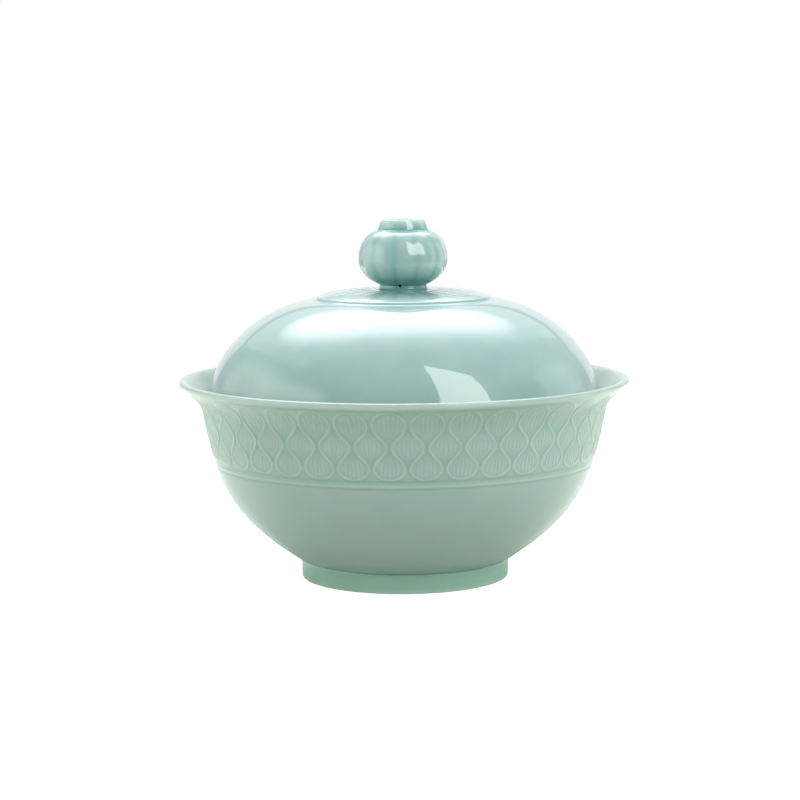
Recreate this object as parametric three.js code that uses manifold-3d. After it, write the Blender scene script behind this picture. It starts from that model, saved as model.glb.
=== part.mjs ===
// Lidded rice bowl in celadon porcelain: a footed bowl with a flared lip, and a domed lid with a
// hollow melon knob. The lid rests loose on the inside of the bowl's flare.
// Millimetres, +Z up. The origin is the centre of the face that the foot ring stands on.
import * as THREE from "three";
import { mergeVertices } from "three/addons/utils/BufferGeometryUtils.js";
import Module from "manifold-3d";

// Bowl.
const LIP_R = 115; // outermost point of the lip
const LIP_TOP = 103; // crest of the lip
const LIP_EDGE = 101.6; // height of the outermost point
const SHOULDER_R = 103.7; // outside, where the wall turns out into the flare
const SHOULDER_Z = 87.1;
const WALL = 4; // thickness near the lip
const BASE_R = 54.5; // outside, where the wall meets the foot ring
const FLOOR_TOP = 16; // inside of the bowl at its centre
const UNDERSIDE_RISE = 1; // how far the underside domes up inside the foot ring

// Foot ring, luted under the bowl.
const FOOT_TOP = 10.3;
const FOOT_R = 53.5;
const FOOT_HOLE_R = 47.5;
const FOOT_FLAT_R = [48.3, 52.2]; // inner and outer edge of the unglazed resting face
const FOOT_EDGE = 1.3; // height of the rounded bottom edges

// Lid.
const LID_R = 100.1; // outermost, just above its resting edge
const LID_BOTTOM = 87.8;
const LID_EDGE = 1.9; // the resting edge is rounded over about this size
const LID_WALL = 4;
const LEDGE_R = 45.2; // foot of the small step round the top disc
const LEDGE_Z = 143.3;
const LEDGE_RISE = 1.6;
const DISC_TOP = 148.2;
const DISC_FLAT_R = 16; // flat middle that carries the collar
const LID_CEILING = 143.7; // inside of the lid at its centre

// Collar between the lid and the knob.
const COLLAR_R = 12.1;
const COLLAR_BASE_R = 14.2;
const COLLAR_COVE = 1.5; // height of the hollow curve at the collar's base
const COLLAR_TOP = 150.8;
const COLLAR_HOLE_R = 8;

// Knob: a twelve-lobed hollow melon with a short neck.
const KNOB_R = 22.75; // at the ridge of each lobe
const KNOB_MIDDLE = 164.5; // height of the widest point
const KNOB_SEAT_R = 12.6;
const KNOB_LOBES = 12;
const KNOB_TURN = THREE.MathUtils.degToRad(3); // one lobe faces this far right of the front
const LOBE_DEPTH = 0.025; // groove depth at the widest point, as a share of the radius
const LOBE_TOP = 177.9; // where the lobes end under the neck
const NECK_FOOT_R = 14.2;
const NECK_R = 12.4;
const KNOB_TOP = 184;
const KNOB_LIP_R = 10.4; // crest of the neck's rolled lip
const DISH_DEPTH = 1.6; // hollow in the top of the neck
const CAVITY_R = 17.8;
const CAVITY_TOP = 174.4;
const CAVITY_FOOT = 154.2;

// Vent that lets air out of the knob, pierced through the joint between knob and collar.
const VENT_R = 0.9;
const VENT_Z = 150.6;
const VENT_TURN = THREE.MathUtils.degToRad(-8); // left of the front
const VENT_SIDES = 12;

// How finely the round shapes are divided.
const ROUND = 64;
const KNOB_ROUND = KNOB_LOBES * 4;

const CELADON = 0xb4d8cd;
const LID_CELADON = 0xa6d0c9;
const FOOT_CELADON = 0xaed2c3;

const wasm = await Module();
wasm.setup();

// A profile point: distance from the axis, and height.
function at(r, z) {
  return new THREE.Vector2(r, z);
}

// The points of an outline. Each stretch is a number of steps and the points that lead to its end:
// one for a straight line, two for a quadratic and three for a cubic curve.
function outline(start, stretches) {
  const curves = { 1: THREE.LineCurve, 2: THREE.QuadraticBezierCurve, 3: THREE.CubicBezierCurve };
  const points = [start];
  for (const [steps, ...leads] of stretches) {
    const curve = new curves[leads.length](points.at(-1), ...leads);
    points.push(...curve.getPoints(steps).slice(1));
  }
  return points;
}

// A solid of revolution about +Z. The outline keeps the material on its left.
function turned(points, sides) {
  return new THREE.LatheGeometry(points, sides).rotateX(Math.PI / 2);
}

function named(name, geometry, color, roughness) {
  const material = new THREE.MeshStandardMaterial({ color, roughness, metalness: 0 });
  const mesh = new THREE.Mesh(geometry, material);
  mesh.name = name;
  return mesh;
}

// A closed geometry as a manifold-3d solid.
function solid(geometry) {
  const bare = geometry.clone();
  bare.deleteAttribute("normal");
  bare.deleteAttribute("uv");
  const merged = mergeVertices(bare, 1e-3);
  return new wasm.Manifold(
    new wasm.Mesh({
      numProp: 3,
      vertProperties: merged.attributes.position.array,
      triVerts: new Uint32Array(merged.index.array),
    }),
  );
}

// The part of a geometry that lies outside another.
function cut(geometry, tool) {
  const mesh = solid(geometry).subtract(solid(tool)).getMesh();
  const left = new THREE.BufferGeometry();
  left.setAttribute("position", new THREE.BufferAttribute(mesh.vertProperties, 3));
  left.setIndex(new THREE.BufferAttribute(mesh.triVerts, 1));
  left.computeVertexNormals();
  return left;
}

// The bowl: underside, outer wall, flare, lip, then back down the inside to the floor.
function bowlBody() {
  const underLip = at(LIP_R - 2.2, LIP_EDGE - 2.8);
  const overLip = at(LIP_R - 4.7, LIP_TOP - 1.1);
  const crest = at(LIP_R - 1.8, LIP_TOP);
  const innerShoulder = at(SHOULDER_R - WALL + 0.1, SHOULDER_Z + 0.7);
  const innerFoot = at(BASE_R + 3.5, FLOOR_TOP + 3);
  const shoulder = at(SHOULDER_R, SHOULDER_Z);
  const points = outline(at(0, FOOT_TOP + UNDERSIDE_RISE), [
    [2, at(FOOT_HOLE_R / 2, FOOT_TOP + UNDERSIDE_RISE), at(FOOT_HOLE_R - 2, FOOT_TOP)],
    [1, at(BASE_R, FOOT_TOP)],
    [9, at(BASE_R + 36, FOOT_TOP + 23.2), at(SHOULDER_R - 6.9, SHOULDER_Z - 36.9), shoulder],
    [3, at(SHOULDER_R + 1.1, SHOULDER_Z + 5.1), at(SHOULDER_R + 3.2, SHOULDER_Z + 6.1), underLip],
    [2, at(LIP_R - 1.1, LIP_EDGE - 1.8), at(LIP_R, LIP_EDGE - 0.9), at(LIP_R, LIP_EDGE)],
    [2, at(LIP_R, LIP_EDGE + 0.9), at(LIP_R - 0.8, LIP_TOP), crest],
    [2, at(LIP_R - 2.8, LIP_TOP), at(LIP_R - 3.7, LIP_TOP - 0.3), overLip],
    [3, at(LIP_R - 9.5, LIP_TOP - 5.5), at(SHOULDER_R - 2.9, SHOULDER_Z + 5.9), innerShoulder],
    [7, at(SHOULDER_R - 10.9, SHOULDER_Z - 35.8), at(BASE_R + 32.1, FLOOR_TOP + 20.7), innerFoot],
    [2, at(BASE_R - 1.3, FLOOR_TOP), at(BASE_R - 10.5, FLOOR_TOP)],
    [1, at(0, FLOOR_TOP)],
  ]);
  return named("bowl_body", turned(points, ROUND), CELADON, 0.25);
}

// The foot ring: a plain ring with a flat resting face and rounded bottom edges.
function footRing() {
  const [flatIn, flatOut] = FOOT_FLAT_R;
  const points = outline(at(flatIn, 0), [
    [1, at(flatOut, 0)],
    [2, at(FOOT_R - 0.3, 0), at(FOOT_R - 0.3, FOOT_EDGE)],
    [1, at(FOOT_R, FOOT_TOP)],
    [1, at(FOOT_HOLE_R, FOOT_TOP)],
    [1, at(FOOT_HOLE_R + 0.3, FOOT_EDGE)],
    [1, at(flatIn, 0)],
  ]);
  return named("foot_ring", turned(points, ROUND), FOOT_CELADON, 0.3);
}

// The lid: from its ceiling down the inside, round the resting edge, then up the dome to the disc.
function lidDome() {
  const inner = LID_R - LID_WALL;
  const points = outline(at(0, LID_CEILING), [
    [3, at(LEDGE_R - 20, LID_CEILING), at(LEDGE_R - 0.5, LEDGE_Z - LID_WALL)],
    [8, at(LEDGE_R + 16, LEDGE_Z - 5.1), at(inner, LEDGE_Z - 21.6), at(inner, LID_BOTTOM + LID_EDGE)],
    [2, at(inner, LID_BOTTOM), at(LID_R - LID_EDGE, LID_BOTTOM)],
    [2, at(LID_R, LID_BOTTOM + 0.3), at(LID_R, LID_BOTTOM + LID_EDGE)],
    [9, at(LID_R - 0.4, LEDGE_Z - 19.5), at(LEDGE_R + 19, LEDGE_Z - 1.1), at(LEDGE_R, LEDGE_Z)],
    [2, at(LEDGE_R - 0.7, LEDGE_Z + LEDGE_RISE), at(LEDGE_R - 1.8, LEDGE_Z + LEDGE_RISE)],
    [3, at(LEDGE_R - 9, DISC_TOP), at(DISC_FLAT_R, DISC_TOP)],
    [1, at(0, DISC_TOP)],
  ]);
  return named("lid_dome", turned(points, ROUND), LID_CELADON, 0.08);
}

// The vent's cutter: a short rod from inside the knob's cavity out through its front.
function ventRod() {
  const middle = (COLLAR_HOLE_R + COLLAR_BASE_R) / 2;
  const rod = new THREE.CylinderGeometry(VENT_R, VENT_R, 2 * (COLLAR_BASE_R - COLLAR_HOLE_R), VENT_SIDES);
  rod.translate(0, -middle, 0);
  return rod.rotateZ(VENT_TURN).translate(0, 0, VENT_Z);
}

// The collar: a low ring whose foot curves out onto the lid.
function knobCollar() {
  const points = outline(at(COLLAR_HOLE_R, DISC_TOP), [
    [1, at(COLLAR_BASE_R, DISC_TOP)],
    [3, at(COLLAR_R, DISC_TOP + 0.2), at(COLLAR_R, DISC_TOP + COLLAR_COVE)],
    [1, at(COLLAR_R, COLLAR_TOP)],
    [1, at(COLLAR_HOLE_R, COLLAR_TOP)],
    [1, at(COLLAR_HOLE_R, DISC_TOP)],
  ]);
  return named("knob_collar", cut(turned(points, KNOB_ROUND), ventRod()), LID_CELADON, 0.1);
}

// How deep the grooves between the lobes are at a height: none at the seat or the neck.
function grooveDepth(z) {
  const span = z < KNOB_MIDDLE ? KNOB_MIDDLE - COLLAR_TOP : LOBE_TOP + 1 - KNOB_MIDDLE;
  const away = Math.min(1, Math.abs(z - KNOB_MIDDLE) / span);
  return LOBE_DEPTH * (1 - away ** 4);
}

// Pulls the outside of the turned knob in between its lobes, from its seat up to the shoulder.
// A lathe's vertices repeat the outline once for each step round, so the cavity stays as it is.
function lobed(melon, points) {
  const seat = points.findIndex((p) => p.x === KNOB_SEAT_R);
  const shoulder = points.findIndex((p) => p.y === LOBE_TOP);
  const position = melon.getAttribute("position");
  for (let i = 0; i < position.count; i += 1) {
    const step = i % points.length;
    if (step < seat || step > shoulder) continue;
    const x = position.getX(i);
    const y = position.getY(i);
    const turn = Math.atan2(x, -y);
    const groove = 1 - Math.abs(Math.cos((KNOB_LOBES * turn) / 2));
    const inset = 1 - groove * grooveDepth(position.getZ(i));
    position.setXY(i, x * inset, y * inset);
  }
  return melon;
}

// The knob: from the cavity's ceiling down its wall and the mouth, then up the melon to the neck.
function lidKnob() {
  const ceiling = at(0, CAVITY_TOP);
  const cavityFoot = at(COLLAR_HOLE_R, CAVITY_FOOT);
  const widest = at(KNOB_R, KNOB_MIDDLE);
  const shoulder = at(NECK_FOOT_R, LOBE_TOP);
  const points = outline(ceiling, [
    [4, at(CAVITY_R * 0.56, CAVITY_TOP), at(CAVITY_R, CAVITY_TOP - 3), at(CAVITY_R, KNOB_MIDDLE)],
    [3, at(CAVITY_R, CAVITY_FOOT + 4), at(COLLAR_HOLE_R + 4, CAVITY_FOOT), cavityFoot],
    [1, at(COLLAR_HOLE_R, COLLAR_TOP)],
    [1, at(KNOB_SEAT_R, COLLAR_TOP)],
    [5, at(KNOB_SEAT_R + 3.2, COLLAR_TOP + 1.7), at(KNOB_R, KNOB_MIDDLE - 9.2), widest],
    [5, at(KNOB_R, KNOB_MIDDLE + 5.9), at(NECK_FOOT_R + 5.2, LOBE_TOP - 1.5), shoulder],
    [2, at(NECK_R + 0.1, LOBE_TOP + 0.5), at(NECK_R, LOBE_TOP + 2)],
    [2, at(NECK_R - 0.8, KNOB_TOP - 0.5), at(KNOB_LIP_R, KNOB_TOP)],
    [2, at(KNOB_LIP_R - 1.4, KNOB_TOP), at(KNOB_LIP_R - 2.6, KNOB_TOP - DISH_DEPTH)],
    [1, at(0, KNOB_TOP - DISH_DEPTH)],
  ]);
  const melon = lobed(turned(points, KNOB_ROUND), points).rotateZ(KNOB_TURN);
  return named("lid_knob", cut(melon, ventRod()), LID_CELADON, 0.1);
}

const bowl = new THREE.Group();
bowl.add(bowlBody(), footRing());

const lid = new THREE.Group();
lid.add(lidDome(), knobCollar(), lidKnob());

const riceBowl = new THREE.Group();
riceBowl.add(bowl, lid);

export default riceBowl;
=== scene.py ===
"""Looks for a lidded rice bowl: celadon glaze over carved relief, in a plain white studio.

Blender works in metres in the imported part's frame: +Z up, -Y the front. Outlines and reliefs below
are in millimetres, as the part's own dimensions are, and MM brings them into the scene.
"""

import math

import bmesh
import bpy
import numpy as np
from mathutils import Euler, Matrix, Vector


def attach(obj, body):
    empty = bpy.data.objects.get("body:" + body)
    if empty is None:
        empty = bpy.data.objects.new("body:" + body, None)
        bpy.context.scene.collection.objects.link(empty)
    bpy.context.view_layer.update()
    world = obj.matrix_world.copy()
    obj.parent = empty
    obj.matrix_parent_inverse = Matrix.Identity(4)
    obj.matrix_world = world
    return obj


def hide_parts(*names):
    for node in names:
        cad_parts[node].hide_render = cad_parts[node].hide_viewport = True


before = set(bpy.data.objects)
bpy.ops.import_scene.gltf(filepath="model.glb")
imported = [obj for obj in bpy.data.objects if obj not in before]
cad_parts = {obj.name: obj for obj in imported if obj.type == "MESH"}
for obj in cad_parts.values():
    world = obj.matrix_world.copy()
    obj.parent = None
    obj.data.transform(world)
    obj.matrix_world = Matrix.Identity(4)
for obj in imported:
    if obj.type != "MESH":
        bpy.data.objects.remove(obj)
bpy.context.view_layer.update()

MM = 0.001

# Bowl.
LIP_R = 115.0
LIP_TOP = 103.0
LIP_EDGE = 101.6
SHOULDER_R = 103.7
SHOULDER_Z = 87.1
WALL = 4.0
BASE_R = 54.5
FLOOR_TOP = 16.0
UNDERSIDE_RISE = 1.0

# Foot ring.
FOOT_TOP = 10.3
FOOT_R = 53.5
FOOT_HOLE_R = 47.5
FOOT_FLAT_IN = 48.3
FOOT_FLAT_OUT = 52.2
FOOT_EDGE = 1.3
BARE_HEIGHT = 0.35  # the glaze is wiped off below this
RUN_TOP = 54.3  # glaze runs down the bowl's wall from here

# Lid.
LID_R = 100.1
LID_BOTTOM = 87.8
LID_EDGE = 1.9
LID_WALL = 4.0
LEDGE_R = 45.2
LEDGE_Z = 143.3
LEDGE_RISE = 1.6
DISC_TOP = 148.2
DISC_FLAT_R = 16.0
LID_CEILING = 143.7
LID_BARE_HEIGHT = 0.6  # the lid's glaze is wiped off this far up from its edge
DISC_PETALS = 24
PETAL_DEPTH = 0.22

# Collar.
COLLAR_R = 12.1
COLLAR_BASE_R = 14.2
COLLAR_COVE = 1.5
COLLAR_TOP = 150.8
COLLAR_HOLE_R = 8.0

# Knob.
KNOB_R = 22.75
KNOB_MIDDLE = 164.5
KNOB_SEAT_R = 12.6
KNOB_LOBES = 12
KNOB_TURN = math.radians(3)
LOBE_DEPTH = 0.022
LOBE_TOP = 177.9
GROOVE_SOFT = 0.3  # how rounded the bottoms of the grooves are
NECK_FOOT_R = 14.2
NECK_R = 12.4
KNOB_TOP = 184.0
KNOB_LIP_R = 10.4
DISH_DEPTH = 1.6
CAVITY_R = 17.8
CAVITY_TOP = 174.4
CAVITY_FOOT = 154.2

# Vent.
VENT_R = 0.9
VENT_Z = 150.6
VENT_TURN = math.radians(-8)

# Carved band round the bowl: three rows of bulbs between sinuous ridges.
BULBS = 36
BULB_TURN = math.radians(0.95)  # a bulb of the middle row is centred here, right of the front
ROW_MIDDLE = 80.1
ROW_STEP = 10.25
RIDGE_GAP = 2.5  # between neighbouring ridges where they come closest
RIDGE_HALF = 0.68
RELIEF_DEPTH = 0.42
ARCH_RISE = 7.6  # the top row closes in an arch this high
ROUND_DROP = 5.7  # the bottom row closes in a round this deep
VEINS = 3.6  # veins from a bulb's middle to its ridge
VEIN_HEIGHT = 0.58  # as a share of the ridge
GROOVE_Z = 63.2  # the groove below the bulbs
BEAD_Z = 60.9  # the raised line below that groove
EDGE_Z = 59.5  # the fine groove below the raised line
BAND_BOTTOM = 58.0
BAND_TOP = 99.6
BAND_FADE = 97.9  # the carving fades out from here up
PARTING_R = (94.5, 101.5, 112.0)  # in the wall's middle, at the band's foot, the shoulder and the lip

# Meshing.
FINE = 0.1  # spacing of the points along an outline before its rows are placed
BEND_STEP = 0.16  # radians that an outline may turn from one row to the next
FINEST = 0.22
RELIEF_STEP = 0.4  # spacing of the rows under relief
ROW_BLUR = 8  # points over which the spacing of the rows is evened out
GLAZE_BLUR = 12  # points over which glaze draws off edges
EVEN_GLAZE = 0.5  # its thickness on a flat wall

# Glazes: the colours where they lie thin, even and pooled, the roughness of the satin body, and the
# strength and roughness of the clear coat.
GLAZES = {
    "bowl": ((0.37, 0.47, 0.42), (0.262, 0.367, 0.32), (0.185, 0.34, 0.265), 0.4, 0.5, 0.1),
    # The foot's glaze is a greener, more saturated copy of the bowl's, with painted shade and green
    # bounce light from near the floor in its colours.
    "foot": ((0.41, 0.55, 0.47), (0.26, 0.46, 0.355), (0.14, 0.35, 0.26), 0.4, 0.6, 0.08),
    "lid": ((0.52, 0.66, 0.63), (0.282, 0.435, 0.41), (0.13, 0.36, 0.31), 0.37, 1.0, 0.015),
}
BODY_SPECULAR = 0.25  # the satin under the coat reflects only this much
GLAZE_IOR = 1.5
COAT_IOR = 1.52

# Brightness of the room towards the front and the back, and of the low walls at its sides.
ROOM_FRONT = 0.23
ROOM_BACK = 0.5
LEFT_WALL = 2.1
RIGHT_WALL = 0.9

# Overhead silk, in metres: its height and corners, and the soft round patch of the lamp behind it.
SILK_Z = 1.36
SILK = [(-1.25, -0.15), (0.72, -0.16), (1.7, 2.95), (-1.9, 2.95)]
SILK_GLOW = 1.0
SILK_TINT = (0.95, 0.98, 1.0)
LAMP_MIDDLE = (-0.1, 1.0, SILK_Z)
LAMP_HALF = (0.78, 0.74)
LAMP_SOFT = 0.42
LAMP_GLOW = 4.6

# Back wall, window and floor, in metres.
WALL_LEFT = -0.95
WALL_RIGHT = 1.1
WALL_Y = 1.6
WALL_TOP = 0.66
WALL_GLOW = 1.0
WINDOW_PLACE = (0.95, -1.06, 1.32)
WINDOW_FACING = (0.242, 0.97, 0)
WINDOW_SIZE = (1.24, 1.78)
WINDOW_GLOW = 6.2
WINDOW_TINT = (0.98, 0.99, 1.0)
WINDOW_SPREAD = 0.12
FLOOR_R = 1.2
BOUNCE_PAPER = (0.94, 0.95, 0.89)
FLOOR_PAPER = (0.8, 0.8, 0.8)
FLOOR_GLOW = 0.75
BACKDROP_R = 8.0

# Camera, in metres and degrees.
CAMERA_PLACE = (0, -1.187, 0.2354)
CAMERA_DOWN = 6.94
CAMERA_ROLL = -0.4
LENS = 104.6
SENSOR = 36
SHIFT_X = -0.005


def bezier(points):
    """Points along a line or a Bezier curve, without its start."""
    points = np.array(points, float)
    length = np.linalg.norm(np.diff(points, axis=0), axis=1).sum()
    t = np.linspace(0, 1, max(2, math.ceil(length / FINE)) + 1)[1:, None]
    degree = len(points) - 1
    terms = [math.comb(degree, k) * t**k * (1 - t) ** (degree - k) * p for k, p in enumerate(points)]
    return sum(terms)


def outline(start, *stretches):
    """A profile of (distance from the axis, height) with the material on its left.

    A stretch lists the points that lead to its end: one for a line, two or three for a curve.
    """
    path = np.array([start], float)
    for leads in stretches:
        path = np.concatenate([path, bezier([path[-1], *leads])])
    return path


def lengths(path):
    """Distance along a path at each of its points."""
    return np.concatenate([[0], np.cumsum(np.linalg.norm(np.diff(path, axis=0), axis=1))])


def along(path, places):
    """The points of a path at these distances along it."""
    run = lengths(path)
    return np.stack([np.interp(places, run, path[:, k]) for k in range(2)], axis=1)


def blurred(values, reach, closed):
    """Values along a path, smoothed over about this many points each way."""
    span = int(3 * reach)
    kernel = np.exp(-0.5 * (np.arange(-span, span + 1) / reach) ** 2)
    mode = "wrap" if closed else "edge"
    padded = np.pad(values, span, mode=mode)
    return np.convolve(padded, kernel / kernel.sum(), "valid")


def softened(path, radius, closed=False):
    """The path with its corners rounded, the way glaze rounds them."""
    count = int(lengths(path)[-1] / FINE)
    even = along(path, np.linspace(0, lengths(path)[-1], count + 1))
    span = int(3 * radius / FINE)
    if closed:
        even = even[:-1]
        padded = np.concatenate([even[-span:], even, even[:span]])
    else:
        mirror = np.array([-1.0, 1.0])
        padded = np.concatenate([even[span:0:-1] * mirror, even, even[-2 : -span - 2 : -1] * mirror])
    kernel = np.exp(-0.5 * (np.arange(-span, span + 1) * FINE / radius) ** 2)
    kernel /= kernel.sum()
    soft = np.stack([np.convolve(padded[:, k], kernel, "valid") for k in range(2)], axis=1)
    if closed:
        return np.concatenate([soft, soft[:1]])
    soft[[0, -1], 0] = 0
    return soft


def bend(path, closed):
    """Turning of a path in radians per millimetre, positive where the solid is convex."""
    if closed:
        step = np.diff(path, axis=0)
        heading = np.unwrap(np.arctan2(step[:, 1], step[:, 0]))
        turn = np.diff(heading, append=heading[0] + 2 * math.pi)
        return np.concatenate([turn[-1:], turn]) / FINE
    step = np.gradient(path, axis=0)
    heading = np.unwrap(np.arctan2(step[:, 1], step[:, 0]))
    return np.gradient(heading) / FINE


def between(low, high, value):
    """Eases from 0 at low to 1 at high."""
    t = np.clip((value - low) / (high - low), 0, 1)
    return t * t * (3 - 2 * t)


def bump(value, middle, half):
    """A smooth hump, 1 at its middle."""
    return np.exp(-(((value - middle) / half) ** 2))


def ring_faces(a, b, count_a, count_b):
    """Faces between two rings that start at vertices a and b, with equal counts or one the double."""
    few = min(count_a, count_b)
    j = np.arange(few)
    k = (j + 1) % few
    if count_a == count_b:
        return np.stack([a + j, a + k, b + k, b + j], axis=1).tolist()
    middle = 2 * j + 1
    if count_b > count_a:
        wedges = [
            (a + j, a + k, b + middle),
            (a + j, b + middle, b + 2 * j),
            (a + k, b + 2 * k, b + middle),
        ]
    else:
        wedges = [
            (a + 2 * j, a + middle, b + j),
            (a + middle, a + 2 * k, b + k),
            (a + middle, b + k, b + j),
        ]
    return np.concatenate([np.stack(w, axis=1) for w in wedges]).tolist()


def placed_rows(path, bends, coarse, levels):
    """Distances along the path for the rows of vertices, closer where it bends or has relief."""
    step = np.clip(BEND_STEP / np.maximum(np.abs(bends), 1e-9), FINEST, coarse)
    if levels is not None:
        step = np.minimum(step, np.where(levels(path) > 0, RELIEF_STEP, coarse))
    step = blurred(step, ROW_BLUR, False)
    run = lengths(path)
    rate = np.concatenate([[0], np.cumsum(np.diff(run) / step[1:])])
    count = max(3, math.ceil(rate[-1]))
    return np.interp(np.linspace(0, rate[-1], count + 1), rate, run)


def turned(name, path, sides, coarse, closed=False, levels=None, relief=None, pools=(), run_down=0.0):
    """A solid of revolution with relief, and on it how thick the glaze lies from 0 to 1.

    Rows have twice the vertices for each level. relief(turn, r, z, out) gives what to add to r, to z
    and to the glaze, where out faces out of the solid. Glaze gathers at pools (r, z, reach), and
    run_down is how much more of it lies at the foot of the wall.
    """
    bends = bend(path, closed)
    run = placed_rows(path, bends, coarse, levels)
    if closed:
        run = run[:-1]
    rows = along(path, run)
    slope = np.gradient(path, axis=0)
    slope /= np.linalg.norm(slope, axis=1)[:, None]
    out = np.stack([np.interp(run, lengths(path), s) for s in (slope[:, 1], -slope[:, 0])], axis=1)
    soft_bends = np.interp(run, lengths(path), blurred(bends, GLAZE_BLUR, closed))
    level = np.zeros(len(rows), int) if levels is None else levels(rows)
    for _ in range(level.max()):
        level = np.maximum(level, np.maximum(np.roll(level, 1), np.roll(level, -1)) - 1)

    points, glaze, faces, starts, counts = [], [], [], [], []
    for (r, z), facing, curl, fineness in zip(rows, out, soft_bends, level):
        count = 1 if r < 1e-6 else sides * 2**fineness
        turn = 2 * math.pi * np.arange(count) / count
        coat = np.full(count, EVEN_GLAZE - np.clip(curl, -EVEN_GLAZE, EVEN_GLAZE))
        coat += run_down * between(RUN_TOP, FOOT_TOP, z)
        for pool_r, pool_z, reach in pools:
            coat += EVEN_GLAZE * bump(math.hypot(r - pool_r, z - pool_z), 0, reach)
        add_r, add_z = 0.0, 0.0
        if relief is not None and count > 1:
            add_r, add_z, add_glaze = relief(turn, r, z, facing)
            coat = coat + add_glaze
        ring_r = r + add_r
        ring = [ring_r * np.sin(turn), -ring_r * np.cos(turn), np.broadcast_to(z + add_z, (count,))]
        starts.append(sum(counts))
        counts.append(count)
        points.append(np.stack(ring, axis=1))
        glaze.append(coat)
    last = len(rows) if closed else len(rows) - 1
    for i in range(last):
        k = (i + 1) % len(rows)
        a, b = starts[i], starts[k]
        if counts[i] == 1:
            j = np.arange(counts[k])
            fan = np.stack([np.full(len(j), a), b + (j + 1) % len(j), b + j], axis=1)
            faces += fan.tolist()
        elif counts[k] == 1:
            j = np.arange(counts[i])
            fan = np.stack([a + j, a + (j + 1) % len(j), np.full(len(j), b)], axis=1)
            faces += fan.tolist()
        else:
            faces += ring_faces(a, b, counts[i], counts[k])
    mesh = bpy.data.meshes.new(name)
    mesh.from_pydata(np.concatenate(points) * MM, [], faces)
    mesh.polygons.foreach_set("use_smooth", np.ones(len(mesh.polygons), bool))
    coat = mesh.attributes.new("glaze", "FLOAT", "POINT")
    coat.data.foreach_set("value", np.clip(np.concatenate(glaze), 0, 1).astype(np.float32))
    piece = bpy.data.objects.new(name, mesh)
    bpy.context.scene.collection.objects.link(piece)
    return piece


# ---------------------------------------------------------------- bowl


def arch_distance(side, rise, half_width, height):
    """Signed distance to a half ellipse, negative inside it."""
    spread = np.hypot(side / half_width, rise / height)
    steep = np.hypot(side / half_width**2, rise / height**2)
    return spread * (spread - 1) / np.maximum(steep, 1e-6)


def bulb_at(turn, r, z):
    """Where points of a row lie among the bulbs.

    Gives the distance to the nearest ridge, which of them are in a bulb, how far they lie from its
    middle line, its half width there and the half width of the widest.
    """
    pitch = 2 * math.pi * r / BULBS
    cell = (turn - BULB_TURN) / (2 * math.pi / BULBS)
    x = np.abs(cell - np.round(cell)) * pitch
    side = pitch / 2 - x
    widest = pitch / 2 - RIDGE_GAP / 2
    above = z - (ROW_MIDDLE + ROW_STEP)
    below = (ROW_MIDDLE - ROW_STEP) - z
    if above > 0 or below > 0:
        rise, height = (above, ARCH_RISE) if above > 0 else (below, ROUND_DROP)
        gap = arch_distance(side, rise, widest, height)
        inside = gap < 0
        across, width = side, np.full_like(side, widest)
    else:
        phase = math.pi * (z - ROW_MIDDLE) / ROW_STEP
        sway = pitch / 4 - RIDGE_GAP / 2
        half = pitch / 4 + sway * math.cos(phase)
        lean = sway * math.sin(phase) * math.pi / ROW_STEP
        gap = (x - half) / math.hypot(1, lean)
        inside = np.full_like(gap, True, dtype=bool)
        across = np.where(gap < 0, x, side)
        width = np.where(gap < 0, half, pitch / 2 - half)
    return gap, inside, across, width, widest


def band_relief(turn, r, z, out):
    """The carved band: ridges at the outline's own height, and everything else cut in below them."""
    if out[0] < 0:
        return 0.0, 0.0, -0.35 * between(SHOULDER_Z + 2, LIP_EDGE - 3, z)
    if z < BAND_BOTTOM or z > BAND_TOP:
        return 0.0, 0.0, 0.0
    gap, inside, across, width, widest = bulb_at(turn, r, z)
    above = z - (ROW_MIDDLE + ROW_STEP)
    hand = np.sin(23 * turn + 0.31 * z) + np.sin(41 * turn - 0.47 * z + 1.3)
    ridge = bump(gap, 0, RIDGE_HALF) * (1 - 0.45 * between(2, 7, above)) * (0.9 + 0.1 * hand)
    share = across / width
    veins = (0.5 + 0.5 * np.cos(2 * math.pi * (share * VEINS + 0.09 * hand))) ** 1.4
    veins *= 0.8 + 0.2 * np.sin(57 * turn + 0.9 * z)
    veins *= (share < (VEINS - 0.5) / VEINS) & inside
    veins *= between(0.5, 1.7, np.abs(gap)) * between(0.42, 0.7, width / widest)
    relief = np.maximum(ridge, VEIN_HEIGHT * veins)
    rim = max(between(BAND_FADE, BAND_TOP, z), between(BAND_BOTTOM + 1.2, BAND_BOTTOM, z))
    groove = -0.15 * bump(z, GROOVE_Z, 1.0) - 0.3 * bump(z, EDGE_Z, 0.45) * (1 - rim)
    bead = 0.34 * bump(z, BEAD_Z, 0.75) + 0.4 * between(BEAD_Z, BAND_BOTTOM + 0.6, z)
    floor = min(0.0, -RELIEF_DEPTH + bead) + groove
    bulbs = RELIEF_DEPTH * relief * between(GROOVE_Z, GROOVE_Z + 1.2, z)
    height = (floor + bulbs) * (1 - rim)
    narrow = np.clip(1 - width / widest, 0, 1)
    thick = 0.34 * narrow * (1 - ridge) + 0.16 * bump(np.abs(gap), 1.15, 0.5) * (1 - veins)
    thick -= 0.3 * ridge + 0.17 * veins
    thick += 0.4 * bump(z, GROOVE_Z + 0.1, 0.9) + 0.35 * bump(z, EDGE_Z, 0.5)
    thick -= 0.25 * bump(z, BEAD_Z, 0.6)
    thick = thick * (1 - rim) + 0.25 * bump(z, BAND_TOP - 1, 0.9)
    return out[0] * height, out[1] * height, thick


def bowl_levels(rows):
    """Rows of the carved band have four times the vertices of the rest."""
    carved = (rows[:, 1] > BAND_BOTTOM - 0.4) & (rows[:, 1] < BAND_TOP)
    outside = rows[:, 0] > np.interp(rows[:, 1], [BAND_BOTTOM, SHOULDER_Z, LIP_TOP], PARTING_R)
    return np.where(carved & outside, 2, 0)


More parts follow.
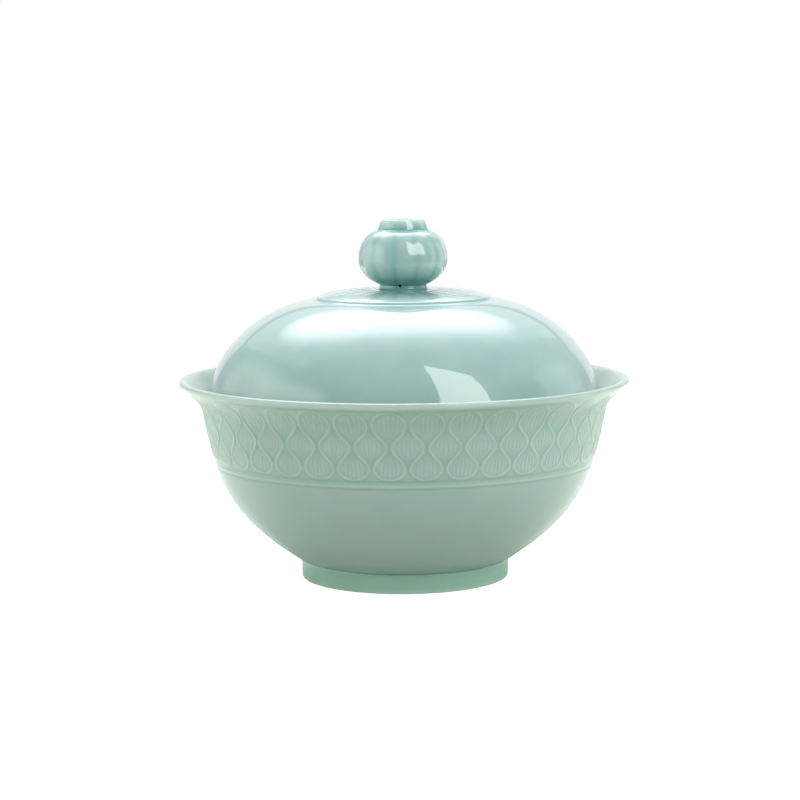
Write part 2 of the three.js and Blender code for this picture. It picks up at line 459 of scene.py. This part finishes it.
def bowl_body():
    """The bowl's wall from its underside up to the lip and down the inside, with the carved band."""
    path = outline(
        (0, FOOT_TOP + UNDERSIDE_RISE),
        [(FOOT_HOLE_R / 2, FOOT_TOP + UNDERSIDE_RISE), (FOOT_HOLE_R - 2, FOOT_TOP)],
        [(BASE_R, FOOT_TOP)],
        [(BASE_R + 36, FOOT_TOP + 23.2), (SHOULDER_R - 6.9, SHOULDER_Z - 36.9), (SHOULDER_R, SHOULDER_Z)],
        [
            (SHOULDER_R + 1.1, SHOULDER_Z + 5.1),
            (SHOULDER_R + 3.2, SHOULDER_Z + 6.1),
            (LIP_R - 2.2, LIP_EDGE - 2.8),
        ],
        [(LIP_R - 1.1, LIP_EDGE - 1.8), (LIP_R, LIP_EDGE - 0.9), (LIP_R, LIP_EDGE)],
        [(LIP_R, LIP_EDGE + 0.9), (LIP_R - 0.8, LIP_TOP), (LIP_R - 1.8, LIP_TOP)],
        [(LIP_R - 2.8, LIP_TOP), (LIP_R - 3.7, LIP_TOP - 0.3), (LIP_R - 4.7, LIP_TOP - 1.1)],
        [
            (LIP_R - 9.5, LIP_TOP - 5.5),
            (SHOULDER_R - 2.9, SHOULDER_Z + 5.9),
            (SHOULDER_R - WALL + 0.1, SHOULDER_Z + 0.7),
        ],
        [
            (SHOULDER_R - 10.9, SHOULDER_Z - 35.8),
            (BASE_R + 32.1, FLOOR_TOP + 20.7),
            (BASE_R + 3.5, FLOOR_TOP + 3),
        ],
        [(BASE_R - 1.3, FLOOR_TOP), (BASE_R - 10.5, FLOOR_TOP)],
        [(0, FLOOR_TOP)],
    )
    path = softened(path, 0.25)
    joint = (FOOT_R + 0.5, FOOT_TOP, 1.6)
    piece = turned(
        "bowl_body", path, 360, 2.2, levels=bowl_levels, relief=band_relief, pools=[joint], run_down=0.08
    )
    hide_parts("bowl_body")
    return piece


def foot_ring():
    """The plain foot ring, with its glaze wiped off the face that it stands on."""
    path = outline(
        (FOOT_FLAT_IN, 0),
        [(FOOT_FLAT_OUT, 0)],
        [(FOOT_R - 0.3, 0), (FOOT_R - 0.3, FOOT_EDGE)],
        [(FOOT_R, FOOT_TOP)],
        [(FOOT_HOLE_R, FOOT_TOP)],
        [(FOOT_HOLE_R + 0.3, FOOT_EDGE)],
        [(FOOT_FLAT_IN, 0)],
    )
    pools = [(FOOT_R, FOOT_TOP, 2.4), (FOOT_HOLE_R, FOOT_TOP, 1.8)]
    piece = turned("foot_ring", softened(path, 0.2, True), 360, 1.2, closed=True, pools=pools)
    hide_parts("foot_ring")
    return piece


# ---------------------------------------------------------------- lid


def disc_relief(turn, r, z, out):
    """Faint petals that radiate from the collar over the lid's top disc."""
    if out[1] < 0.5 or r > LEDGE_R - 2:
        return 0.0, 0.0, 0.0
    fade = between(15.5, 20, r) * between(LEDGE_R - 3, LEDGE_R - 9, r)
    petals = np.abs(np.cos(DISC_PETALS * turn / 2))
    height = -PETAL_DEPTH * (1 - petals) ** 1.5 * fade
    return 0.0, height, 0.12 * (1 - petals) * fade


def lid_levels(rows):
    """Rows of the petalled disc have twice the vertices of the rest."""
    return np.where((rows[:, 1] > LEDGE_Z + 0.8) & (rows[:, 0] > 10), 1, 0)


def lid_dome():
    """The lid's dome with the small step round its top disc."""
    inner = LID_R - LID_WALL
    path = outline(
        (0, LID_CEILING),
        [(LEDGE_R - 20, LID_CEILING), (LEDGE_R - 0.5, LEDGE_Z - LID_WALL)],
        [(LEDGE_R + 16, LEDGE_Z - 5.1), (inner, LEDGE_Z - 21.6), (inner, LID_BOTTOM + LID_EDGE)],
        [(inner, LID_BOTTOM), (LID_R - LID_EDGE, LID_BOTTOM)],
        [(LID_R, LID_BOTTOM + 0.3), (LID_R, LID_BOTTOM + LID_EDGE)],
        [(LID_R - 0.4, LEDGE_Z - 19.5), (LEDGE_R + 19, LEDGE_Z - 1.1), (LEDGE_R, LEDGE_Z)],
        [(LEDGE_R - 0.7, LEDGE_Z + LEDGE_RISE), (LEDGE_R - 1.8, LEDGE_Z + LEDGE_RISE)],
        [(LEDGE_R - 9, DISC_TOP), (DISC_FLAT_R, DISC_TOP)],
        [(0, DISC_TOP)],
    )
    path = softened(path, 0.22)
    joint = (COLLAR_BASE_R, DISC_TOP, 4.0)
    piece = turned("lid_dome", path, 360, 2.0, levels=lid_levels, relief=disc_relief, pools=[joint])
    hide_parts("lid_dome")
    return piece


def vent_rod():
    """The cutter that pierces the vent through the joint of knob and collar."""
    rod = bmesh.new()
    reach = (COLLAR_BASE_R - COLLAR_HOLE_R) * 2 * MM
    bmesh.ops.create_cone(
        rod, cap_ends=True, segments=32, radius1=VENT_R * MM, radius2=VENT_R * MM, depth=reach
    )
    middle = (COLLAR_HOLE_R + COLLAR_BASE_R) / 2 * MM
    place = Matrix.Rotation(VENT_TURN, 4, "Z") @ Matrix.Translation((0, -middle, VENT_Z * MM))
    bmesh.ops.transform(rod, matrix=place @ Matrix.Rotation(math.pi / 2, 4, "X"), verts=rod.verts)
    mesh = bpy.data.meshes.new("vent_rod")
    rod.to_mesh(mesh)
    rod.free()
    cutter = bpy.data.objects.new("vent_rod", mesh)
    bpy.context.scene.collection.objects.link(cutter)
    return cutter


def pierced(piece):
    """The piece with the vent cut out of it."""
    cutter = vent_rod()
    cut = piece.modifiers.new("vent", "BOOLEAN")
    cut.object = cutter
    cut.solver = "EXACT"
    whole = piece.data
    shown = piece.evaluated_get(bpy.context.evaluated_depsgraph_get())
    piece.data = bpy.data.meshes.new_from_object(shown)
    piece.modifiers.clear()
    piece.data.name = piece.name
    piece.data.polygons.foreach_set("use_smooth", np.ones(len(piece.data.polygons), bool))
    bpy.data.meshes.remove(whole)
    bpy.data.objects.remove(cutter)
    return piece


def knob_collar():
    """The low collar whose foot curves out onto the lid."""
    path = outline(
        (COLLAR_HOLE_R, DISC_TOP),
        [(COLLAR_BASE_R, DISC_TOP)],
        [(COLLAR_R, DISC_TOP + 0.2), (COLLAR_R, DISC_TOP + COLLAR_COVE)],
        [(COLLAR_R, COLLAR_TOP)],
        [(COLLAR_HOLE_R, COLLAR_TOP)],
        [(COLLAR_HOLE_R, DISC_TOP)],
    )
    pools = [(COLLAR_R, COLLAR_TOP, 2.4), (COLLAR_BASE_R, DISC_TOP, 2.4)]
    piece = turned("knob_collar", softened(path, 0.12, True), 288, 0.6, closed=True, pools=pools)
    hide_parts("knob_collar")
    return pierced(piece)


def lobe_relief(turn, r, z, out):
    """Draws the outside of the knob in between its lobes."""
    if z > LOBE_TOP + 1 or r < KNOB_SEAT_R or out[0] < -0.2:
        return 0.0, 0.0, 0.0
    span = KNOB_MIDDLE - COLLAR_TOP if z < KNOB_MIDDLE else LOBE_TOP + 1 - KNOB_MIDDLE
    depth = LOBE_DEPTH * (1 - min(1, abs(z - KNOB_MIDDLE) / span) ** 4)
    crest = np.abs(np.cos(KNOB_LOBES * (turn - KNOB_TURN) / 2))
    groove = (1 - np.hypot(crest, GROOVE_SOFT)) / (1 - GROOVE_SOFT)
    pooling = 0.2 + 0.3 * between(KNOB_MIDDLE, COLLAR_TOP + 2, z)
    return -r * depth * groove, 0.0, pooling * depth / LOBE_DEPTH * groove**2


def lid_knob():
    """The hollow melon knob with its short neck."""
    path = outline(
        (0, CAVITY_TOP),
        [(CAVITY_R * 0.56, CAVITY_TOP), (CAVITY_R, CAVITY_TOP - 3), (CAVITY_R, KNOB_MIDDLE)],
        [(CAVITY_R, CAVITY_FOOT + 4), (COLLAR_HOLE_R + 4, CAVITY_FOOT), (COLLAR_HOLE_R, CAVITY_FOOT)],
        [(COLLAR_HOLE_R, COLLAR_TOP)],
        [(KNOB_SEAT_R, COLLAR_TOP)],
        [(KNOB_SEAT_R + 3.2, COLLAR_TOP + 1.7), (KNOB_R, KNOB_MIDDLE - 9.2), (KNOB_R, KNOB_MIDDLE)],
        [(KNOB_R, KNOB_MIDDLE + 5.9), (NECK_FOOT_R + 5.2, LOBE_TOP - 1.5), (NECK_FOOT_R, LOBE_TOP)],
        [(NECK_R + 0.1, LOBE_TOP + 0.5), (NECK_R, LOBE_TOP + 2)],
        [(NECK_R - 0.8, KNOB_TOP - 0.5), (KNOB_LIP_R, KNOB_TOP)],
        [(KNOB_LIP_R - 0.6, KNOB_TOP), (KNOB_LIP_R - 1.3, KNOB_TOP - DISH_DEPTH)],
        [(0, KNOB_TOP - DISH_DEPTH)],
    )
    pools = [(KNOB_SEAT_R, COLLAR_TOP, 6.5), (NECK_R, LOBE_TOP + 0.8, 1.0)]
    piece = turned("lid_knob", softened(path, 0.18), 288, 0.6, relief=lobe_relief, pools=pools)
    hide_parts("lid_knob")
    return pierced(piece)


# ---------------------------------------------------------------- materials


def node(tree, kind, **values):
    """A shader node with these properties and inputs set."""
    made = tree.nodes.new(kind)
    for key, value in values.items():
        if hasattr(made, key):
            setattr(made, key, value)
        else:
            made.inputs[key.replace("_", " ")].default_value = value
    return made


def scaled_noise(tree, coords, scale, detail, low, high):
    """A noise pattern spread to run from low to high."""
    noise = node(tree, "ShaderNodeTexNoise", Scale=scale, Detail=detail)
    tree.links.new(coords.outputs["Object"], noise.inputs["Vector"])
    spread = node(tree, "ShaderNodeMapRange", From_Min=0.3, From_Max=0.7, To_Min=low, To_Max=high)
    spread.clamp = False
    tree.links.new(noise.outputs["Fac"], spread.inputs["Value"])
    return spread.outputs["Result"]


def combined(tree, operation, *values):
    """The sum or the product of some values."""
    total = values[0]
    for value in values[1:]:
        step = node(tree, "ShaderNodeMath", operation=operation)
        tree.links.new(total, step.inputs[0])
        tree.links.new(value, step.inputs[1])
        total = step.outputs[0]
    return total


def bumped(tree, shader, layers):
    """Small relief on a shader's normal, from (height, reach in metres) layers."""
    normal = None
    for height, reach in layers:
        layer = node(tree, "ShaderNodeBump", Strength=1.0, Distance=reach)
        tree.links.new(height, layer.inputs["Height"])
        if normal is not None:
            tree.links.new(normal, layer.inputs["Normal"])
        normal = layer.outputs["Normal"]
    for name in ("Normal", "Coat Normal"):
        tree.links.new(normal, shader.inputs[name])


def celadon(name, thin, middle, pooled, rough, shine, gloss):
    """Celadon glaze: pale where it runs thin over edges, and deeper where it pools.

    The satin body has roughness rough, under a clear coat of strength shine and roughness gloss.
    """
    material = bpy.data.materials.new(name)
    material.use_nodes = True
    tree = material.node_tree
    shader = tree.nodes["Principled BSDF"]
    coords = node(tree, "ShaderNodeTexCoord")
    coat = node(tree, "ShaderNodeAttribute", attribute_name="glaze")
    clouds = scaled_noise(tree, coords, 22.0, 2.0, -0.06, 0.06)
    mottle = scaled_noise(tree, coords, 95.0, 1.0, -0.025, 0.025)
    depth = combined(tree, "ADD", coat.outputs["Fac"], clouds, mottle)
    ramp = tree.nodes.new("ShaderNodeValToRGB")
    ramp.color_ramp.elements[0].color = (*thin, 1)
    ramp.color_ramp.elements[1].color = (*pooled, 1)
    ramp.color_ramp.elements.new(0.5).color = (*middle, 1)
    tree.links.new(depth, ramp.inputs["Fac"])
    tree.links.new(ramp.outputs["Color"], shader.inputs["Base Color"])
    satin = scaled_noise(tree, coords, 30.0, 1.0, rough - 0.015, rough + 0.015)
    tree.links.new(satin, shader.inputs["Roughness"])
    shader.inputs["IOR"].default_value = GLAZE_IOR
    shader.inputs["Specular IOR Level"].default_value = BODY_SPECULAR
    shader.inputs["Coat Weight"].default_value = shine
    shader.inputs["Coat Roughness"].default_value = gloss
    shader.inputs["Coat IOR"].default_value = COAT_IOR
    swell = scaled_noise(tree, coords, 45.0, 1.0, 0.0, 1.0)
    peel = scaled_noise(tree, coords, 600.0, 2.0, 0.0, 1.0)
    bumped(tree, shader, [(swell, 0.00002), (peel, 0.000002)])
    return material


def bare_clay():
    """Unglazed porcelain body, where the glaze was wiped off before firing."""
    material = bpy.data.materials.new("bare_clay")
    material.use_nodes = True
    tree = material.node_tree
    shader = tree.nodes["Principled BSDF"]
    coords = node(tree, "ShaderNodeTexCoord")
    tone = scaled_noise(tree, coords, 160.0, 4.0, 0.0, 1.0)
    ramp = tree.nodes.new("ShaderNodeValToRGB")
    ramp.color_ramp.elements[0].color = (0.62, 0.55, 0.47, 1)
    ramp.color_ramp.elements[1].color = (0.78, 0.74, 0.68, 1)
    tree.links.new(tone, ramp.inputs["Fac"])
    tree.links.new(ramp.outputs["Color"], shader.inputs["Base Color"])
    grit = scaled_noise(tree, coords, 1500.0, 3.0, 0.0, 1.0)
    rough = scaled_noise(tree, coords, 300.0, 2.0, 0.62, 0.8)
    tree.links.new(rough, shader.inputs["Roughness"])
    bumped(tree, shader, [(grit, 0.00003)])
    return material


def finish_piece(piece, body, material, bare=None, bare_below=None):
    """Gives a piece its body and its materials."""
    piece.data.materials.clear()
    piece.data.materials.append(material)
    if bare is not None:
        piece.data.materials.append(bare)
        for face in piece.data.polygons:
            face.material_index = int(face.center.z < bare_below * MM)
    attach(piece, body)


# ---------------------------------------------------------------- studio


def staged(name, mesh, material):
    """A stage object: part of the studio and not of the bowl."""
    mesh.materials.append(material)
    made = bpy.data.objects.new(name, mesh)
    bpy.context.scene.collection.objects.link(made)
    return made


def sheet(name, corners, material):
    """A flat stage sheet between its corners."""
    mesh = bpy.data.meshes.new(name)
    mesh.from_pydata([Vector(corner) for corner in corners], [], [range(len(corners))])
    return staged(name, mesh, material)


def disc(name, radius, height, material):
    """A flat round stage sheet."""
    turns = [2 * math.pi * k / 96 for k in range(96)]
    rim = [(radius * math.cos(turn), radius * math.sin(turn), height) for turn in turns]
    return sheet(name, rim, material)


def window():
    """A tall window at the front right, seen in the glaze more than it lights it."""
    width, height = WINDOW_SIZE
    lamp = bpy.data.lights.new("window", "AREA")
    lamp.shape = "RECTANGLE"
    lamp.size = width
    lamp.size_y = height
    lamp.energy = WINDOW_GLOW * math.pi * width * height
    lamp.color = WINDOW_TINT
    lamp.diffuse_factor = WINDOW_SPREAD
    box = bpy.data.objects.new("window", lamp)
    box.location = WINDOW_PLACE
    box.rotation_euler = Vector(WINDOW_FACING).to_track_quat("-Z", "Y").to_euler()
    box.visible_camera = False
    bpy.context.scene.collection.objects.link(box)


def soft_patch(tree, place, middle, half, soft):
    """1 inside an ellipse in X and Y, easing to 0 over this share of its size about the rim."""
    offset = node(tree, "ShaderNodeVectorMath", operation="SUBTRACT")
    offset.inputs[1].default_value = middle
    scaled = node(tree, "ShaderNodeVectorMath", operation="DIVIDE")
    scaled.inputs[1].default_value = (*half, 1)
    size = node(tree, "ShaderNodeVectorMath", operation="LENGTH")
    ease = node(tree, "ShaderNodeMapRange", From_Min=1 + soft, From_Max=1 - soft)
    ease.interpolation_type = "SMOOTHSTEP"
    tree.links.new(place, offset.inputs[0])
    tree.links.new(offset.outputs[0], scaled.inputs[0])
    tree.links.new(scaled.outputs[0], size.inputs[0])
    tree.links.new(size.outputs["Value"], ease.inputs["Value"])
    return ease.outputs["Result"]


def glowing(name, strength, tint=(1.0, 1.0, 1.0)):
    """A material that gives plain light."""
    material = bpy.data.materials.new(name)
    material.use_nodes = True
    tree = material.node_tree
    tree.nodes.clear()
    glow = node(tree, "ShaderNodeEmission", Color=(*tint, 1), Strength=strength)
    end = node(tree, "ShaderNodeOutputMaterial")
    tree.links.new(glow.outputs[0], end.inputs["Surface"])
    return material


def silk_material():
    """Diffusing silk overhead, brightest where the lamp behind it is."""
    material = glowing("ceiling_silk", SILK_GLOW, SILK_TINT)
    tree = material.node_tree
    coords = node(tree, "ShaderNodeTexCoord")
    patch = soft_patch(tree, coords.outputs["Object"], LAMP_MIDDLE, LAMP_HALF, LAMP_SOFT)
    level = node(tree, "ShaderNodeMath", operation="MULTIPLY_ADD")
    level.inputs[1].default_value = LAMP_GLOW
    level.inputs[2].default_value = SILK_GLOW
    tree.links.new(patch, level.inputs[0])
    tree.links.new(level.outputs[0], tree.nodes["Emission"].inputs["Strength"])
    return material


def floor_material(name, paper, glow):
    """White floor paper that fades away from the bowl."""
    material = bpy.data.materials.new(name)
    material.use_nodes = True
    tree = material.node_tree
    shader = tree.nodes["Principled BSDF"]
    shader.inputs["Base Color"].default_value = (*paper, 1)
    shader.inputs["Roughness"].default_value = 0.9
    shader.inputs["Specular IOR Level"].default_value = 0.1
    shader.inputs["Emission Color"].default_value = (1, 1, 1, 1)
    shader.inputs["Emission Strength"].default_value = glow
    coords = node(tree, "ShaderNodeTexCoord")
    length = node(tree, "ShaderNodeVectorMath", operation="LENGTH")
    fade = node(tree, "ShaderNodeMapRange", From_Min=0.35, From_Max=1.0, To_Min=1.0, To_Max=0.0)
    fade.interpolation_type = "SMOOTHSTEP"
    tree.links.new(coords.outputs["Object"], length.inputs[0])
    tree.links.new(length.outputs["Value"], fade.inputs["Value"])
    tree.links.new(fade.outputs["Result"], shader.inputs["Alpha"])
    return material


def only_for_camera(made):
    """The camera sees this object, and it neither lights nor shades anything."""
    for ray in ("visible_diffuse", "visible_glossy", "visible_transmission", "visible_shadow"):
        setattr(made, ray, False)


def surround():
    """A faint room, with brighter low walls at the sides."""
    world = bpy.data.worlds.new("studio")
    world.use_nodes = True
    tree = world.node_tree
    back = tree.nodes["Background"]
    back.inputs["Color"].default_value = (0.97, 0.99, 0.98, 1)
    coords = node(tree, "ShaderNodeTexCoord")
    split = node(tree, "ShaderNodeSeparateXYZ")
    tree.links.new(coords.outputs["Generated"], split.inputs[0])
    ramps = {
        "room": ("Y", -0.8, 0.4, ROOM_FRONT, ROOM_BACK),
        "left": ("X", -0.6, -0.8, 0.0, LEFT_WALL),
        "left_front": ("Y", 0.5, 0.0, 0.35, 1.0),
        "right": ("X", 0.66, 0.88, 0.0, RIGHT_WALL),
        "right_back": ("Y", 0.0, 0.15, 0.0, 1.0),
        "low": ("Z", 0.64, 0.42, 0.0, 1.0),
    }
    level = {}
    for name, (axis, start, end, low, high) in ramps.items():
        ramp = node(tree, "ShaderNodeMapRange", From_Min=start, From_Max=end, To_Min=low, To_Max=high)
        ramp.interpolation_type = "SMOOTHSTEP"
        tree.links.new(split.outputs[axis], ramp.inputs["Value"])
        level[name] = ramp.outputs["Result"]
    left = combined(tree, "MULTIPLY", level["left"], level["left_front"], level["low"])
    right = combined(tree, "MULTIPLY", level["right"], level["right_back"], level["low"])
    tree.links.new(combined(tree, "ADD", level["room"], left, right), back.inputs["Strength"])
    bpy.context.scene.world = world


def studio():
    """Plain soft studio light on a pale floor."""
    scene = bpy.context.scene
    scene.view_settings.view_transform = "Standard"
    scene.view_settings.look = "None"
    surround()
    silk = sheet("silk", [(x, y, SILK_Z) for x, y in SILK], silk_material())
    wall_corners = [(WALL_LEFT, 0), (WALL_RIGHT, 0), (WALL_RIGHT, WALL_TOP), (WALL_LEFT, WALL_TOP)]
    wall_paper = glowing("wall_paper", WALL_GLOW)
    wall = sheet("back_wall", [(x, WALL_Y, z) for x, z in wall_corners], wall_paper)
    bounce = disc("bounce_floor", FLOOR_R, -0.0005, floor_material("bounce_paper", BOUNCE_PAPER, 0.0))
    for made in (silk, wall, bounce):
        made.visible_camera = False
    window()
    only_for_camera(disc("floor", FLOOR_R, 0.0, floor_material("floor_paper", FLOOR_PAPER, FLOOR_GLOW)))
    dome = bmesh.new()
    bmesh.ops.create_icosphere(dome, subdivisions=4, radius=BACKDROP_R)
    mesh = bpy.data.meshes.new("backdrop")
    dome.to_mesh(mesh)
    dome.free()
    only_for_camera(staged("backdrop", mesh, glowing("backdrop_white", 1.0)))


def camera():
    """The camera: a long lens a little over a metre away, looking slightly down."""
    lens = bpy.data.cameras.new("camera")
    lens.lens = LENS
    lens.sensor_width = SENSOR
    lens.shift_x = SHIFT_X
    lens.clip_end = 50
    body = bpy.data.objects.new("camera", lens)
    body.location = CAMERA_PLACE
    tilt = Euler((math.radians(90 - CAMERA_DOWN), 0, 0)).to_matrix().to_4x4()
    roll = Matrix.Rotation(math.radians(CAMERA_ROLL), 4, "Z")
    body.rotation_euler = (tilt @ roll).to_euler()
    bpy.context.scene.collection.objects.link(body)
    bpy.context.scene.camera = body


camera()
studio()

clay = bare_clay()
glazes = {name: celadon(f"{name}_celadon", *look) for name, look in GLAZES.items()}

finish_piece(bowl_body(), "bowl", glazes["bowl"])
# The foot ring gets its own glaze copy, with painted shade and bounce light in its colours.
finish_piece(foot_ring(), "bowl", glazes["foot"], clay, BARE_HEIGHT)
finish_piece(lid_dome(), "lid", glazes["lid"], clay, LID_BOTTOM + LID_BARE_HEIGHT)
finish_piece(knob_collar(), "lid", glazes["lid"])
finish_piece(lid_knob(), "lid", glazes["lid"])
